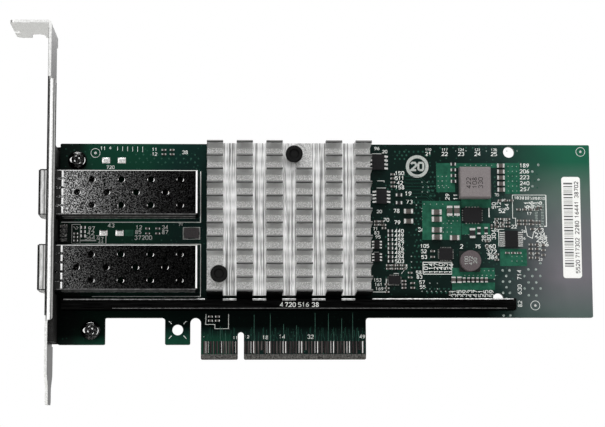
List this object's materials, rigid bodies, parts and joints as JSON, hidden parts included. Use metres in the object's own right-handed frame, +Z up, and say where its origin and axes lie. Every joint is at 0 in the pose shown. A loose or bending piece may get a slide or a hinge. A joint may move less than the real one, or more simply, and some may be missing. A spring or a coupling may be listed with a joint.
{
  "type": "network interface card",
  "caption": "Low-profile circuit board with a gold edge connector, finned heat sink, pluggable-module cages and a tall folded steel mounting bracket.",
  "frame": {"origin": "centre of the key notch at the bottom edge of the gold edge connector, on the board's mid-plane", "axes": "+X along the card away from the bracket, +Z up from the connector to the board's top edge, -Y out of the component side"},
  "size_m": [0.1847, 0.0216, 0.1201],
  "materials": {
    "bracket_gasket": "black conductive cloth over foam",
    "bracket_screws": "nickel plated",
    "ceramic_capacitors": "fired ceramic",
    "chip_leads": "tinned copper",
    "chip_resistors": "glazed ceramic",
    "chip_terminals": "tinned",
    "circuit_board": "green solder mask",
    "clock_buffer_chip": "moulded package",
    "contacts_back": "hard gold plating",
    "contacts_front": "hard gold plating",
    "controller_chip": "moulded package",
    "crystal_oscillator": "metal lid on a ceramic body",
    "flash_memory": "moulded package",
    "heat_sink": "clear anodised extrusion, cross cut",
    "heat_sink_push_pins": "black nylon",
    "heat_sink_springs": "drawn spring wire",
    "logic_chips": "moulded package",
    "mounting_bracket": "bright zinc or nickel plated sheet steel",
    "paper_label": "matt white label stock",
    "port_cage_lower": "nickel plated sheet",
    "port_cage_upper": "nickel plated sheet",
    "port_contacts_lower": "gold plated",
    "port_contacts_upper": "gold plated",
    "port_cover_lower": "nickel plated sheet",
    "port_cover_upper": "nickel plated sheet",
    "port_socket_lower": "moulded, black",
    "port_socket_upper": "moulded, black",
    "port_spring_collar_lower": "plated spring steel",
    "port_spring_collar_upper": "plated spring steel",
    "power_controller": "moulded package",
    "power_stage_chip": "moulded package",
    "regulator_chip": "moulded package",
    "round_inductor": "ferrite",
    "round_inductor_winding": "enamelled copper wire",
    "square_inductor": "pressed metal powder",
    "square_inductor_terminals": "tinned copper",
    "status_lights": "moulded, milky",
    "stiffener_bar": "black, satin",
    "stiffener_screws": "nickel plated",
    "thermal_pad": "grey silicone pad"
  },
  "bodies": {
    "root": {"bracket_gasket": "bracket_gasket", "bracket_screws": "bracket_screws", "ceramic_capacitors": "ceramic_capacitors", "chip_leads": "chip_leads", "chip_resistors": "chip_resistors", "chip_terminals": "chip_terminals", "circuit_board": "circuit_board", "clock_buffer_chip": "clock_buffer_chip", "contacts_back": "contacts_back", "contacts_front": "contacts_front", "controller_chip": "controller_chip", "crystal_oscillator": "crystal_oscillator", "flash_memory": "flash_memory", "heat_sink": "heat_sink", "heat_sink_push_pins": "heat_sink_push_pins", "heat_sink_springs": "heat_sink_springs", "logic_chips": "logic_chips", "mounting_bracket": "mounting_bracket", "paper_label": "paper_label", "port_cage_lower": "port_cage_lower", "port_cage_upper": "port_cage_upper", "port_contacts_lower": "port_contacts_lower", "port_contacts_upper": "port_contacts_upper", "port_cover_lower": "port_cover_lower", "port_cover_upper": "port_cover_upper", "port_socket_lower": "port_socket_lower", "port_socket_upper": "port_socket_upper", "port_spring_collar_lower": "port_spring_collar_lower", "port_spring_collar_upper": "port_spring_collar_upper", "power_controller": "power_controller", "power_stage_chip": "power_stage_chip", "regulator_chip": "regulator_chip", "round_inductor": "round_inductor", "round_inductor_winding": "round_inductor_winding", "square_inductor": "square_inductor", "square_inductor_terminals": "square_inductor_terminals", "status_lights": "status_lights", "stiffener_bar": "stiffener_bar", "stiffener_screws": "stiffener_screws", "thermal_pad": "thermal_pad"}
  },
  "joints": []
}
